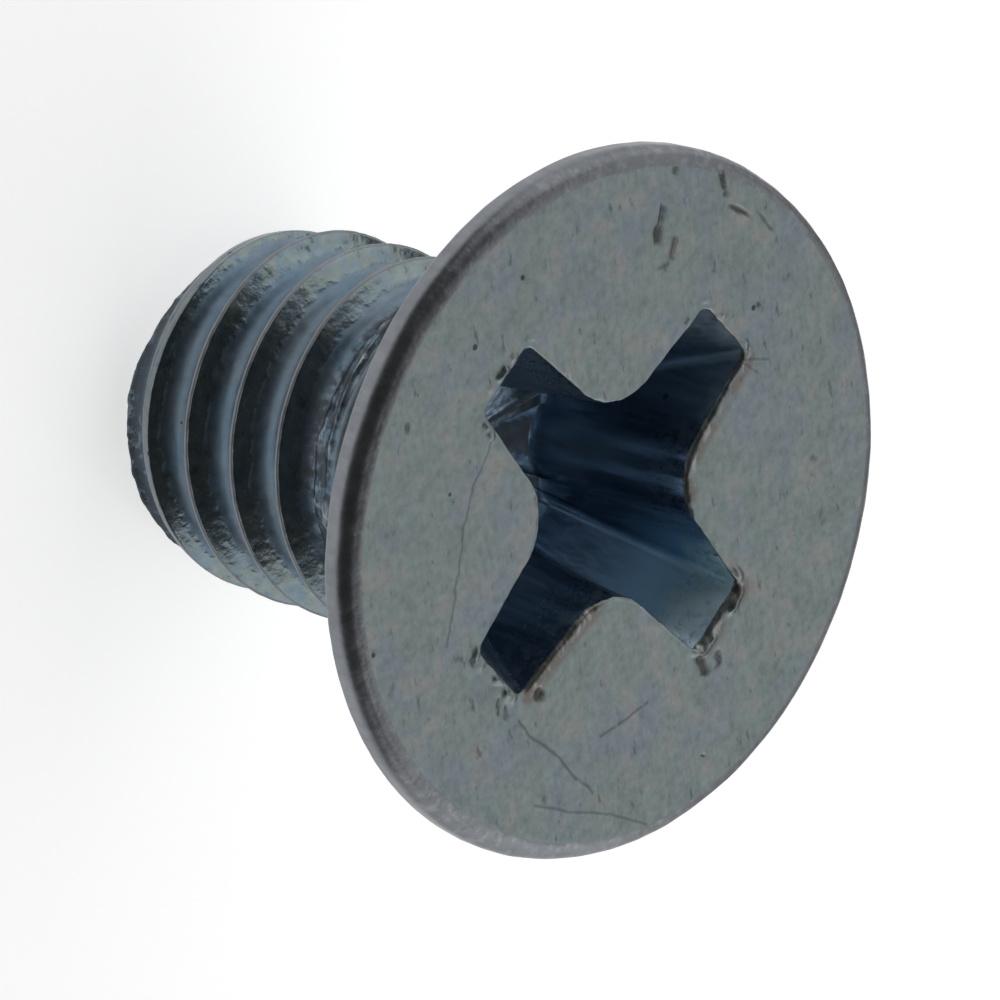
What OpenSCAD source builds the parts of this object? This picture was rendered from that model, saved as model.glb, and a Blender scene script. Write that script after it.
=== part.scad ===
// Countersunk machine screw with a cross recess, M4 x 6, cut a little short of its nominal length.
// Frame: the origin is the centre of the flat head face, +Z looks out of the face, the shank
// hangs down along -Z, and the recess wings lie along X and Y. Sizes are in millimetres.

/* [Head] */
// Diameter of the head over its rim
head_d = 7.5; // [7:0.1:8.4]
// Depth from the flat face to the far edge of the rim, where the cone starts
rim_depth = 0.3; // [0.2:0.05:0.6]
// Width of the rounded edge around the flat face
edge_width = 0.24; // [0.05:0.01:0.4]
// Depth of the rounded edge around the flat face
edge_depth = 0.12; // [0.05:0.01:0.18]
// Angle across the countersink cone
cone_angle = 90; // [80:1:100]

/* [Cross recess] */
// Diameter over the ends of the wings at the face
recess_d = 4.5; // [4:0.1:4.6]
// Diameter over the ends of the wings at the recess floor
recess_floor_d = 2.29; // [2:0.01:2.4]
// Width of each wing
wing_width = 0.88; // [0.7:0.02:1]
// Radius of the rounded corner between two wings
web_radius = 0.82; // [0.4:0.02:0.9]
// Slope of the wing ends, away from the screw's axis
wing_slope = 26.5; // [25:0.5:28]
// Slope of the pointed floor, away from flat
floor_slope = 20; // [10:1:25]

/* [Shank] */
// Length from the head face to the end of the shank
screw_length = 5.9; // [5.8:0.1:20]
// Diameter of the unthreaded neck under the head
neck_d = 3.5; // [3.4:0.05:3.8]
// Depth from the head face to the end of the neck
neck_depth = 2.8; // [2.7:0.05:2.9]
// Radius of the fillet between the cone and the neck
neck_fillet = 0.3; // [0.1:0.05:0.4]
// Diameter of the flat end
end_d = 2.9; // [2.6:0.02:3]

/* [Thread] */
// Outer diameter of the thread
thread_d = 4; // [4:0.05:4.1]
// Distance from one crest to the next
pitch = 0.7; // [0.6:0.05:0.8]
// Depth at which the first crest rises out of the neck
thread_start = 2.35; // [2.3:0.05:2.5]
// Stretch over which the first crest rises to its full height
run_in = 0.4; // [0.2:0.05:0.6]
// Length of the tapered lead at the end of the thread
lead_length = 1.12; // [0.8:0.02:1.4]
// Drop of the crest's radius over the tapered lead
lead_drop = 0.32; // [0.2:0.02:0.4]
// Depth at which a crest passes the +X side of the screw
crest_depth = 2.9; // [2.4:0.01:3]

/* [Hidden] */
$fn = 64;

head_r = head_d / 2;
neck_r = neck_d / 2;
end_r = end_d / 2;
thread_r = thread_d / 2;
half_cone = cone_angle / 2;
// Where the cone would meet the neck if there were no fillet
cone_end = rim_depth + (head_r - neck_r) / tan(half_cone);

recess_r = recess_d / 2;
floor_r = recess_floor_d / 2;
wing_depth = (recess_r - floor_r) / tan(wing_slope);
recess_depth = wing_depth + floor_r * tan(floor_slope);

// A metric thread: 60 degree flanks, a flat crest of an eighth of the pitch
flank_tan = tan(30);
crest_flat = pitch / 8;
thread_height = 0.6134 * pitch;
core_r = thread_r - thread_height;
// The ridge starts a little inside the core, so that the two join without a gap
ridge_r = core_r - 0.03;
ridge_half_width = crest_flat / 2 + (thread_r - ridge_r) * flank_tan;
thread_end = screw_length + ridge_half_width;
lead_start = screw_length - lead_length;
turn_steps = 36;

metal = [0.48, 0.52, 0.53];
bright_metal = [0.55, 0.6, 0.64];

// Turns over a shape that is built upwards, with its depth below the head face as its height
module hang_down() {
    rotate([180, 0, 0]) children();
}

// Half section of the head and neck: the rounded edge, the rim, the cone and the fillet
function edge_arc() = [
    for (a = [0:15:90])
        [head_r - edge_width + edge_width * sin(a), edge_depth * (1 - cos(a))]
];

function fillet_arc() = [
    let (rise = neck_fillet * tan(half_cone / 2))
    for (i = [0:5])
        let (a = 180 + half_cone * (1 - i / 5))
        [neck_r + neck_fillet * (1 + cos(a)), cone_end + rise + neck_fillet * sin(a)]
];

module head_blank() {
    rotate_extrude()
        polygon(concat(
            [[0, 0]],
            edge_arc(),
            [[head_r, rim_depth]],
            fillet_arc(),
            [[neck_r, neck_depth], [0, neck_depth]]
        ));
}

// Outline of the cross: two bars, and a block whose corners are scooped round
module cross_outline() {
    half_w = wing_width / 2;
    scoop = half_w + web_radius;
    for (turn = [0, 90])
        rotate(turn) square([recess_d + 2, wing_width], center = true);
    difference() {
        square(2 * scoop, center = true);
        for (sx = [-1, 1], sy = [-1, 1])
            translate([sx * scoop, sy * scoop]) circle(r = web_radius);
    }
}

// Room swept by the wing ends: a cone down to the floor, then a blunt point
module recess_cone() {
    lip = 0.2;
    rotate_extrude()
        polygon([
            [0, -lip],
            [recess_r + lip * tan(wing_slope), -lip],
            [floor_r, wing_depth],
            [0, recess_depth]
        ]);
}

module cross_recess() {
    intersection() {
        recess_cone();
        translate([0, 0, -1]) linear_extrude(recess_depth + 2) cross_outline();
    }
}

module head() {
    color(metal) hang_down() difference() {
        head_blank();
        cross_recess();
    }
}

module shank() {
    color(bright_metal) hang_down() rotate_extrude()
        polygon([
            [0, neck_depth],
            [core_r, neck_depth],
            [core_r, screw_length - (core_r - end_r)],
            [end_r, screw_length],
            [0, screw_length]
        ]);
}

// Radius of the crest at a depth: it rises out of the neck to its full height
function crest_r(depth) =
    min(thread_r, neck_r - 0.05 + (thread_r - neck_r + 0.05) * (depth - thread_start) / run_in);

// Four corners of the ridge's section where its centre lies at one depth
function ridge_section(depth) =
    let (turn = 360 * (depth - crest_depth) / pitch)
    let (top = crest_r(depth))
    let (top_half = ridge_half_width - (top - ridge_r) * flank_tan)
    [
        for (corner = [[ridge_r, -ridge_half_width], [top, -top_half],
                       [top, top_half], [ridge_r, ridge_half_width]])
            [corner[0] * cos(turn), corner[0] * sin(turn), depth + corner[1]]
    ];

// Room that the tapered lead and the chamfered end leave for the thread
module lead_envelope() {
    spare = 0.5;
    lead_r = thread_r - lead_drop;
    chamfer = (lead_r - end_r) / (1 - lead_drop / lead_length);
    rotate_extrude()
        polygon([
            [0, 0],
            [thread_r + spare, 0],
            [thread_r + spare, lead_start - spare * lead_length / lead_drop],
            [lead_r + chamfer * lead_drop / lead_length, screw_length - chamfer],
            [end_r, screw_length],
            [0, screw_length]
        ]);
}

module ridge() {
    count = ceil(turn_steps * (thread_end - thread_start) / pitch);
    points = [
        for (i = [0:count])
            each ridge_section(thread_start + (thread_end - thread_start) * i / count)
    ];
    sides = [
        for (i = [0:count - 1], k = [0:3])
            [4 * i + k, 4 * i + (k + 1) % 4, 4 * i + 4 + (k + 1) % 4, 4 * i + 4 + k]
    ];
    caps = [[3, 2, 1, 0], [for (k = [0:3]) 4 * count + k]];
    polyhedron(points, concat(sides, caps), convexity = 10);
}

module thread() {
    color(bright_metal) hang_down() intersection() {
        ridge();
        lead_envelope();
    }
}

head();
shank();
thread();
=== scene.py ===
"""A short countersunk machine screw: its head with the cross recess, its shank and its rolled thread."""

import logging
import math
from dataclasses import dataclass, field
from enum import Enum
from typing import Callable

import bpy
import numpy as np
from mathutils import Matrix, Quaternion, Vector, noise


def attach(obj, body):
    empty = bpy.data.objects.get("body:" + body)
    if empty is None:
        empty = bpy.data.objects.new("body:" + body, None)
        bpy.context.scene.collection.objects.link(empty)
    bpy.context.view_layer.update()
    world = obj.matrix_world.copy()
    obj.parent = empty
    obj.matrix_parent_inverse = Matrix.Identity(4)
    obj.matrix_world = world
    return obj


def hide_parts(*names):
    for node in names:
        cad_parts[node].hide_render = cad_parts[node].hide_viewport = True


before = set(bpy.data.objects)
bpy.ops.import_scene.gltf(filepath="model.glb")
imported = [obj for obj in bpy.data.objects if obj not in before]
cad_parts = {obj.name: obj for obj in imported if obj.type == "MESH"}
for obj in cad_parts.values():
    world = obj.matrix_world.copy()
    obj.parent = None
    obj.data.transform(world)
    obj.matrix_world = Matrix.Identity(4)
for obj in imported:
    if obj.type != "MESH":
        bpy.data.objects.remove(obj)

MM = 0.001
LOG = logging.getLogger("screw")
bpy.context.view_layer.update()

# Layers of smooth noise, each as its amount, its waves in a millimetre and its seed.
Layers = tuple[tuple[float, float, float], ...]
NodeInput = "Signal | bpy.types.NodeSocket | float | int | bool | str | tuple | bpy.types.ID | None"


def math_node(operation: str, flipped: bool = False) -> "Callable[..., Signal]":
    """Makes a method of Signal that adds one Math node to its tree.

    Args:
        operation: What the node works out.
        flipped: Whether the signal comes after the other value, as in a number less a signal.

    Returns:
        The method, which takes the other values and returns the result.
    """
    def method(self: "Signal", *others: "Signal | float") -> "Signal":
        """Adds the node and returns its result."""
        made = self.bench.node("ShaderNodeMath", operation=operation)
        for place, value in enumerate((*others, self) if flipped else (self, *others)):
            self.bench.feed(made.inputs[place], value)
        return Signal(self.bench, made.outputs[0])
    return method


class Signal:
    """One output socket of a node tree, which Python's operators add Math nodes to."""

    def __init__(self, bench: "NodeBench", socket: bpy.types.NodeSocket) -> None:
        """Wraps a socket.

        Args:
            bench: The bench whose tree the socket is in.
            socket: The output socket.
        """
        self.bench = bench
        self.socket = socket

    __add__ = math_node("ADD")
    __radd__ = math_node("ADD", flipped=True)
    __sub__ = math_node("SUBTRACT")
    __rsub__ = math_node("SUBTRACT", flipped=True)
    __mul__ = math_node("MULTIPLY")
    __rmul__ = math_node("MULTIPLY", flipped=True)
    __truediv__ = math_node("DIVIDE")
    __abs__ = math_node("ABSOLUTE")
    sine = math_node("SINE")
    cosine = math_node("COSINE")
    at_least = math_node("MAXIMUM")
    at_most = math_node("MINIMUM")
    # These two take a distance as well, over which the corner between the two values is rounded.
    soft_at_least = math_node("SMOOTH_MAX")
    soft_at_most = math_node("SMOOTH_MIN")

    def rise(self, low: float, high: float) -> "Signal":
        """A soft step from 0 below low to 1 above high; low may be the larger one.

        Args:
            low: Where the step starts.
            high: Where the step ends.

        Returns:
            The step as a value from 0 to 1.
        """
        turned = low > high
        ends = (high, low) if turned else (low, high)
        made = self.bench.node(
            "ShaderNodeMapRange", {"Value": self, "From Min": ends[0], "From Max": ends[1]},
            interpolation_type="SMOOTHSTEP",
        )
        step = Signal(self.bench, made.outputs["Result"])
        return 1.0 - step if turned else step


class NodeBench:
    """Adds nodes and links to one node tree."""

    def __init__(self, tree: bpy.types.NodeTree) -> None:
        """Starts on a tree.

        Args:
            tree: A shader or geometry node tree.
        """
        self.tree = tree

    def feed(self, socket: bpy.types.NodeSocket, value: NodeInput) -> None:
        """Links a value to an input socket, or sets the socket's own value.

        Args:
            socket: The input socket.
            value: A signal or output to link, or a plain value.
        """
        if isinstance(value, Signal):
            self.tree.links.new(value.socket, socket)
        elif isinstance(value, bpy.types.NodeSocket):
            self.tree.links.new(value, socket)
        else:
            socket.default_value = value

    def node(self, kind: str, inputs: dict | None = None, **settings: str) -> bpy.types.Node:
        """Adds one node.

        Args:
            kind: The node's type.
            inputs: Values or links by the input's name or number.
            settings: Properties to set before them.

        Returns:
            The new node.
        """
        made = self.tree.nodes.new(kind)
        for name, value in settings.items():
            setattr(made, name, value)
        for name, value in (inputs or {}).items():
            self.feed(made.inputs[name], value)
        return made

    def read(self, kind: str, output: str | int, inputs: dict | None = None, **settings: str) -> Signal:
        """Adds one node and returns one of its outputs."""
        return Signal(self, self.node(kind, inputs, **settings).outputs[output])


def soft_step(value: np.ndarray, low: float, high: float) -> np.ndarray:
    """A soft step from 0 at low to 1 at high, for arrays."""
    share = np.clip((value - low) / (high - low), 0.0, 1.0)
    return share * share * (3.0 - 2.0 * share)


def ripple(points: np.ndarray, scale: float, seed: float) -> np.ndarray:
    """Smooth noise at each point.

    Args:
        points: Points in millimetres, one a row.
        scale: How many waves fit in a millimetre.
        seed: Shifts the pattern.

    Returns:
        One value a point, about -1 to 1.
    """
    shift = Vector((seed, 1.7 * seed, -0.6 * seed))
    return np.array([noise.noise(Vector(p) * scale + shift) for p in points])


def ripples(points: np.ndarray, layers: Layers) -> np.ndarray:
    """Sum of several layers of smooth noise."""
    return sum(amount * ripple(points, scale, seed) for amount, scale, seed in layers)


def bands(rings: int, count: int, first: int = 0) -> list[tuple[int, ...]]:
    """Quads between neighbouring rings of points.

    Args:
        rings: How many rings there are.
        count: Points on each ring.
        first: Number of the first ring's first point.

    Returns:
        The faces, as point numbers.
    """
    faces = []
    for base in range(first, first + (rings - 1) * count, count):
        for k in range(count):
            after = (k + 1) % count
            faces.append((base + k, base + count + k, base + count + after, base + after))
    return faces


def placed(name: str, data: bpy.types.ID) -> bpy.types.Object:
    """Makes an object of a mesh, a camera or a lamp, and links it to the scene.

    Args:
        name: Name of the object.
        data: What it is made of.

    Returns:
        The new object.
    """
    thing = bpy.data.objects.new(name, data)
    bpy.context.scene.collection.objects.link(thing)
    return thing


def towards(azimuth: float, elevation: float) -> Vector:
    """Unit vector at an azimuth, counted from -Y towards +X, and an elevation, both in degrees."""
    a, e = math.radians(azimuth), math.radians(elevation)
    return Vector((math.sin(a) * math.cos(e), -math.cos(a) * math.cos(e), math.sin(e)))


class Zone(Enum):
    """Which finish a stretch of a lofted piece has."""

    RECESS = 0
    FACE = 1
    SIDE = 2


class RingLoft:
    """A closed mesh made of rings of equal point counts, from one pole to the other."""

    def __init__(self, count: int) -> None:
        """Starts an empty loft.

        Args:
            count: Points on each ring.
        """
        self.count = count
        self.rings: list[np.ndarray] = []
        self.zones: list[int] = []
        self.zone = Zone.RECESS

    def add(self, spots: np.ndarray, depth: np.ndarray | float) -> None:
        """Adds a ring of x, y points, in millimetres, at a depth below the head face."""
        z = -np.broadcast_to(np.asarray(depth, float), (len(spots),))
        self.rings.append(np.column_stack([spots, z]))
        self.zones.append(self.zone.value)

    def build(self, name: str, shape: Callable[[np.ndarray], np.ndarray]) -> bpy.types.Object:
        """Makes the mesh, closed at both poles.

        Args:
            name: Name of the piece.
            shape: Moves the points a last time.

        Returns:
            The new object, with its place in its mesh.
        """
        points = shape(np.concatenate(self.rings))
        n, last = self.count, len(self.rings) - 1
        poles = np.stack([points[:n].mean(axis=0), points[last * n:].mean(axis=0)])
        points = np.concatenate([points, poles])
        first_pole, last_pole = (last + 1) * n, (last + 1) * n + 1
        faces = bands(last + 1, n)
        zones = np.repeat(self.zones[1:], n).tolist()
        faces += [(first_pole, k, (k + 1) % n) for k in range(n)]
        faces += [(last_pole, last * n + (k + 1) % n, last * n + k) for k in range(n)]
        zones += [self.zones[0]] * n + [self.zones[last]] * n
        mesh = bpy.data.meshes.new(name)
        mesh.from_pydata((points * MM).tolist(), [], faces)
        mesh.polygons.foreach_set("use_smooth", [True] * len(faces))
        mesh.polygons.foreach_set("material_index", zones)
        mesh.update()
        return placed(name, mesh)


def circle(radius: float | np.ndarray, angle: np.ndarray) -> np.ndarray:
    """Points on a circle at the given angles."""
    return np.column_stack([radius * np.cos(angle), radius * np.sin(angle)])


def keep_values(piece: bpy.types.Object, name: str, values: np.ndarray) -> None:
    """Stores one number for each point of a piece, which its material reads.

    Args:
        piece: The piece.
        name: Name of the attribute.
        values: The numbers, with 0 for the points past their end.
    """
    padded = np.zeros(len(piece.data.vertices), np.float32)
    padded[:len(values)] = values
    piece.data.attributes.new(name, "FLOAT", "POINT").data.foreach_set("value", padded)


@dataclass
class CrossRecess:
    """The cross recess that the punch leaves in the head. Lengths are in millimetres."""

    centre: tuple[float, float] = (-0.03, -0.06)
    mouth_r: float = 2.22
    floor_r: float = 1.16
    end_half_width: float = 0.44
    root_half_width: float = 0.53
    web_radius: float = 0.72
    corner_radius: float = 0.11
    wing_slope: float = math.radians(26.5)
    side_draft: float = math.radians(3.0)
    web_draft: float = math.radians(4.0)
    floor_slope: float = math.radians(20.0)
    end_points: int = 20
    corner_points: int = 7
    side_points: int = 20
    web_points: int = 52

    @property
    def wall_depth(self) -> float:
        """Depth at which the sloping wing ends meet the floor."""
        return (self.mouth_r - self.floor_r) / math.tan(self.wing_slope)

    def wall_at(self, depth: np.ndarray | float) -> np.ndarray:
        """Points on the wall at a depth, which may differ from point to point."""
        share = np.broadcast_to(np.asarray(depth, float) / self.wall_depth, (len(self.outline(0.0)),))
        return self.outline(0.0) * (1 - share[:, None]) + self.outline(self.wall_depth) * share[:, None]

    def outline(self, depth: float) -> np.ndarray:
        """Outline of the recess at a depth, as points in order round the axis.

        Args:
            depth: Depth below the head face.

        Returns:
            An array of x, y rows, with as many points at every depth.
        """
        end_r = self.mouth_r - depth * math.tan(self.wing_slope)
        end_w = self.end_half_width - depth * math.tan(self.side_draft)
        root_w = self.root_half_width - depth * math.tan(self.side_draft)
        web_r = self.web_radius - depth * math.tan(self.web_draft)
        corner = self.corner_radius
        root_u = root_w + web_r
        half = []
        for share in np.linspace(0.0, 1.0, self.end_points // 2, endpoint=False):
            half.append((end_r, share * (end_w - corner)))
        for turn in np.linspace(0.0, math.pi / 2, self.corner_points, endpoint=False):
            half.append((end_r - corner * (1 - math.cos(turn)), end_w - corner * (1 - math.sin(turn))))
        for share in np.linspace(0.0, 1.0, self.side_points, endpoint=False):
            u = (end_r - corner) * (1 - share) + root_u * share
            half.append((u, end_w * (1 - share) + root_w * share))
        for turn in np.linspace(0.0, math.pi / 4, self.web_points // 2, endpoint=False):
            half.append((root_u - web_r * math.sin(turn), root_u - web_r * math.cos(turn)))
        half.append((root_u - web_r * math.sqrt(0.5), root_u - web_r * math.sqrt(0.5)))
        half = np.array(half)
        mirrored = half[1:-1][::-1][:, ::-1]
        quarter = np.concatenate([half, mirrored])
        quarters = []
        for turn in range(4):
            c, s = round(math.cos(turn * math.pi / 2)), round(math.sin(turn * math.pi / 2))
            quarters.append(quarter @ np.array([[c, s], [-s, c]]))
        return np.concatenate(quarters) + np.array(self.centre)


def outward(outline: np.ndarray) -> np.ndarray:
    """Unit vectors square to a closed outline, pointing away from its middle.

    Args:
        outline: The outline's points in order, as x, y rows.

    Returns:
        One vector for each point.
    """
    along = np.roll(outline, -1, axis=0) - np.roll(outline, 1, axis=0)
    away = np.stack([along[:, 1], -along[:, 0]], axis=1)
    return away / np.linalg.norm(away, axis=1)[:, None]


@dataclass(frozen=True)
class Dent:
    """A nick in the head face. Lengths are in millimetres."""

    start: tuple[float, float]
    end: tuple[float, float]
    half_width: float
    depth: float = 0.02


@dataclass
class ScrewHead:
    """The head: face, worn edge, rim, cone, neck and cross recess. Lengths are in millimetres."""

    recess: CrossRecess = field(default_factory=CrossRecess)
    rim_r: float = 3.75
    wide_edge: tuple[float, float] = (0.235, 0.19)
    narrow_edge: tuple[float, float] = (0.11, 0.05)
    wide_side: float = math.radians(-56.0)
    rim_depth: float = 0.30
    cone_half_angle: float = math.radians(45.0)
    neck_r: float = 1.75
    neck_end: float = 2.45
    neck_fillet: float = 0.3
    neck_taper: float = 0.02
    edge_roundness: float = 0.8
    rim_corner: float = 0.07
    corner_above: float = 0.03
    sharp_lip: float = 0.025
    crushed_lip: float = 0.06
    crushed_side: tuple[float, float] = (-0.25, 0.97)
    lip_reach: float = 0.26
    lip_noise: Layers = ((0.3, 3.0, 2.0),)
    crushed_reach: float = 0.20
    ragged_reach: float = 0.10
    ragged_depth: float = 0.014
    ragged_noise: Layers = ((1.0, 6.0, 3.1), (0.7, 15.0, 8.4))
    wall_rings: int = 16
    face_rings: int = 57
    edge_rings: int = 13
    burr_height: float = 0.05
    burr_from_mouth: float = 0.06
    burr_width: float = 0.045
    burr_wing_length: float = 0.45
    burr_noise: Layers = ((1.0, 4.0, 5.0), (0.5, 12.0, 1.0))
    side_width: float = 0.35
    side_swell: float = 0.004
    side_noise: Layers = ((0.008, 1.0, 2.0), (0.006, 4.5, 6.0))
    face_sink: float = 0.0042
    face_noise: Layers = ((0.006, 0.8, 4.0), (0.0025, 5.0, 9.0))
    dent_noise: Layers = ((0.55, 9.0, 4.4), (0.35, 22.0, 6.2))
    dents: tuple[Dent, ...] = (
        Dent((-2.58, -1.76), (-2.34, -1.60), 0.035), Dent((-2.38, -1.66), (-2.28, -1.56), 0.05),
        Dent((-2.50, -1.42), (-2.28, -1.25), 0.03), Dent((-2.22, -1.26), (-2.10, -1.34), 0.025, 0.012),
        Dent((-3.34, -1.36), (-3.20, -1.10), 0.03), Dent((-3.19, -0.92), (-3.24, -0.74), 0.035),
        Dent((-3.37, -0.56), (-3.35, -0.28), 0.022, 0.012), Dent((-2.99, -1.95), (-2.93, -1.90), 0.03),
        Dent((2.37, 0.12), (2.48, 0.24), 0.022), Dent((2.36, 0.26), (2.45, 0.36), 0.025),
        Dent((1.98, 0.55), (2.03, 0.60), 0.055, 0.03), Dent((2.30, -0.50), (2.33, -0.46), 0.03),
        Dent((3.03, -0.78), (3.07, -0.74), 0.035), Dent((-0.12, -1.99), (-0.10, -1.97), 0.035, 0.03),
        Dent((0.42, 2.25), (0.47, 2.42), 0.05, 0.03), Dent((0.22, 2.42), (0.30, 2.52), 0.04, 0.02),
        Dent((-2.70, 0.13), (-2.68, 0.15), 0.026, 0.02), Dent((-1.70, 2.55), (-1.62, 2.68), 0.02, 0.01),
        Dent((-2.05, 2.02), (-2.02, 2.06), 0.028, 0.02), Dent((1.10, -3.05), (1.16, -3.00), 0.03, 0.015),
    )

    def build(self, finishes: dict[Zone, bpy.types.Material]) -> bpy.types.Object:
        """Lofts the head from the middle of the recess floor, over the face and down to the neck.

        Args:
            finishes: The material of each zone.

        Returns:
            The head.
        """
        mouth = self.recess.wall_at(0.0)
        loft = RingLoft(len(mouth))
        crushed = self._crushed(mouth)
        self._add_floor(loft)
        lip = self.sharp_lip + (self.crushed_lip - self.sharp_lip) * crushed
        lip *= 1.0 + ripples(np.column_stack([mouth, mouth[:, 0] * 0.0]), self.lip_noise)
        for share in np.linspace(0.0, 1.0, self.wall_rings):
            depth = self.recess.wall_depth * (1 - share) + lip * share
            loft.add(self.recess.wall_at(depth), depth)
        self._add_lip_and_face(loft, mouth, lip)
        self._add_side(loft)
        points = np.concatenate(loft.rings)
        piece = loft.build("screw_head", self._worn)
        for zone in Zone:
            piece.data.materials.append(finishes[zone])
        near = np.exp(-((self._mouth_distance(points) / self.crushed_reach) ** 2))
        near *= points[:, 2] > -0.2
        keep_values(piece, "crushed", near * np.tile(crushed, len(loft.rings)))
        keep_values(piece, "dented", self._dented(points) / Dent.depth)
        return piece

    def _crushed(self, mouth: np.ndarray) -> np.ndarray:
        """How far the punch crushed the edge of the recess at each point of the mouth, 0 to 1."""
        facing = outward(mouth) @ np.array(self.crushed_side)
        return soft_step(facing, 0.35, 0.85)

    def _add_floor(self, loft: RingLoft) -> None:
        """Adds the blunt point at the bottom of the recess.

        Args:
            loft: The loft, before its first ring.
        """
        bottom = self.recess.wall_at(self.recess.wall_depth)
        reach = self.recess.floor_r * math.tan(self.recess.floor_slope)
        middle = np.array(self.recess.centre)
        for share in np.linspace(0.03, 0.96, 9):
            loft.add(middle + (bottom - middle) * share, self.recess.wall_depth + reach * (1 - share))

    def _add_lip_and_face(self, loft: RingLoft, mouth: np.ndarray, lip: np.ndarray) -> None:
        """Adds the lip round the recess, and the face out to the worn edge.

        Args:
            loft: The loft.
            mouth: Outline of the recess at the face.
            lip: Radius of the lip at each point.
        """
        away = outward(mouth)
        wall = self.recess.wall_at(lip)
        rounded = mouth + away * lip[:, None]
        loft.zone = Zone.FACE
        for turn in np.linspace(0.25, 1.0, 4) * math.pi / 2:
            share = 1 - math.cos(turn)
            loft.add(wall * (1 - share) + rounded * share, lip * (1 - math.sin(turn)))
        for share in (0.08, 0.18, 0.3, 0.44, 0.6, 0.8, 1.0):
            loft.add(rounded + away * self.lip_reach * share, 0.0)
        inner = rounded + away * self.lip_reach
        angle = np.arctan2(inner[:, 1], inner[:, 0])
        edge_width, _ = self._edge(angle)
        outer = circle(self.rim_r - edge_width, angle)
        for share in np.linspace(0.0, 1.0, self.face_rings)[1:]:
            loft.add(inner * (1 - share) + outer * share, 0.0)

    def _edge(self, angle: np.ndarray) -> tuple[np.ndarray, np.ndarray]:
        """Width and depth of the worn edge at each angle: the heading die left it wider on one side.

        Args:
            angle: Angles round the axis, in radians.

        Returns:
            The widths and the depths, in millimetres.
        """
        wide = 0.5 + 0.5 * np.cos(angle - self.wide_side)
        wide = soft_step(wide, 0.0, 0.75)
        return tuple(n + (w - n) * wide for w, n in zip(self.wide_edge, self.narrow_edge))

    def _add_side(self, loft: RingLoft) -> None:
        """Adds the worn edge, the rim, the cone, the fillet and the neck.

        Args:
            loft: The loft, which ends at the worn edge.
        """
        last = loft.rings[-1]
        angle = np.arctan2(last[:, 1], last[:, 0])
        width, depth = self._edge(angle)
        loft.zone = Zone.SIDE
        for share in np.linspace(0.0, 1.0, self.edge_rings)[1:]:
            turn = share * math.pi / 2
            drop = self.edge_roundness * (1 - math.cos(turn)) + (1 - self.edge_roundness) * share
            loft.add(circle(self.rim_r - width * (1 - math.sin(turn)), angle), depth * drop)
        corner_depth = self.rim_depth - self.corner_above
        for share in np.linspace(0.0, 1.0, 5)[1:]:
            loft.add(circle(self.rim_r, angle), depth + (corner_depth - depth) * share)
        profile = []
        for turn in np.linspace(0.0, self.cone_half_angle, 5)[1:]:
            profile.append((self.rim_r - self.rim_corner * (1 - math.cos(turn)),
                            corner_depth + self.rim_corner * math.sin(turn)))
        start_r, start_depth = profile[-1]
        cone_end = start_depth + (start_r - self.neck_r) / math.tan(self.cone_half_angle)
        rise = self.neck_fillet * math.tan(self.cone_half_angle / 2)
        fillet = []
        for turn in np.linspace(self.cone_half_angle, 0.0, 6):
            fillet.append((self.neck_r + self.neck_fillet * (1 - math.cos(turn)),
                           cone_end + rise - self.neck_fillet * math.sin(turn)))
        for share in np.linspace(0.0, 1.0, 13)[1:-1]:
            profile.append((start_r + (fillet[0][0] - start_r) * share,
                            start_depth + (fillet[0][1] - start_depth) * share))
        profile += [(radius, place) for radius, place in fillet if place < self.neck_end]
        profile.append((self.neck_r - self.neck_taper, self.neck_end))
        for radius, place in profile:
            loft.add(circle(radius, angle), place)

    def _worn(self, points: np.ndarray) -> np.ndarray:
        """Gives the surface its unevenness, its dents and the burrs that the punch leaves.

        Args:
            points: All points of the loft, in millimetres.

        Returns:
            The moved points.
        """
        x, y, z = points.T
        radius = np.hypot(x, y)
        away = points[:, :2] / np.maximum(radius, 1e-6)[:, None]
        from_mouth = self._mouth_distance(points)
        near = np.exp(-((from_mouth / self.ragged_reach) ** 2)) * (z > -0.3)
        rough = ripples(points, self.ragged_noise)
        moved = points.copy()
        moved[:, :2] += away * (self.ragged_depth * rough * near)[:, None]
        at_end = soft_step(radius, self.recess.mouth_r - self.burr_wing_length, self.recess.mouth_r)
        off_middle = (from_mouth - self.burr_from_mouth) / self.burr_width
        lip = self.burr_height * (0.2 + 0.8 * at_end) * np.exp(-(off_middle ** 2))
        lump = soft_step(ripples(points, self.burr_noise), -0.15, 0.45)
        moved[:, 2] += lip * lump * (z > -0.02)
        side = (radius > self.rim_r - self.side_width) * 1.0
        uneven = ripples(points, self.side_noise) + self.side_swell
        moved[:, :2] += away * (uneven * side)[:, None]
        face = (z > -0.03) * (from_mouth > 0.02) * 1.0
        moved[:, 2] += face * (ripples(points, self.face_noise) - self.face_sink)
        moved[:, 2] -= self._dented(points)
        return moved

    def _dented(self, points: np.ndarray) -> np.ndarray:
        """Depth of the nicks at each point, in millimetres.

        Args:
            points: All points of the loft, in millimetres.

        Returns:
            One depth for each point.
        """
        depth = np.zeros(len(points))
        face = np.nonzero(points[:, 2] > -0.01)[0]
        spots = points[face, :2]
        ragged = 1.0 + ripples(points[face], self.dent_noise)
        for dent in self.dents:
            start, run = np.array(dent.start), np.array(dent.end) - np.array(dent.start)
            share = np.clip((spots - start) @ run / (run @ run), 0.0, 1.0)
            off = np.linalg.norm(spots - start - share[:, None] * run, axis=1)
            taper = 0.55 + 0.45 * np.sin(math.pi * (0.15 + 0.7 * share))
            flat, brink = 0.35 * dent.half_width, 1.25 * dent.half_width * taper * ragged
            depth[face] = np.maximum(depth[face], dent.depth * (1 - soft_step(off, flat, brink)))
        return depth

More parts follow.
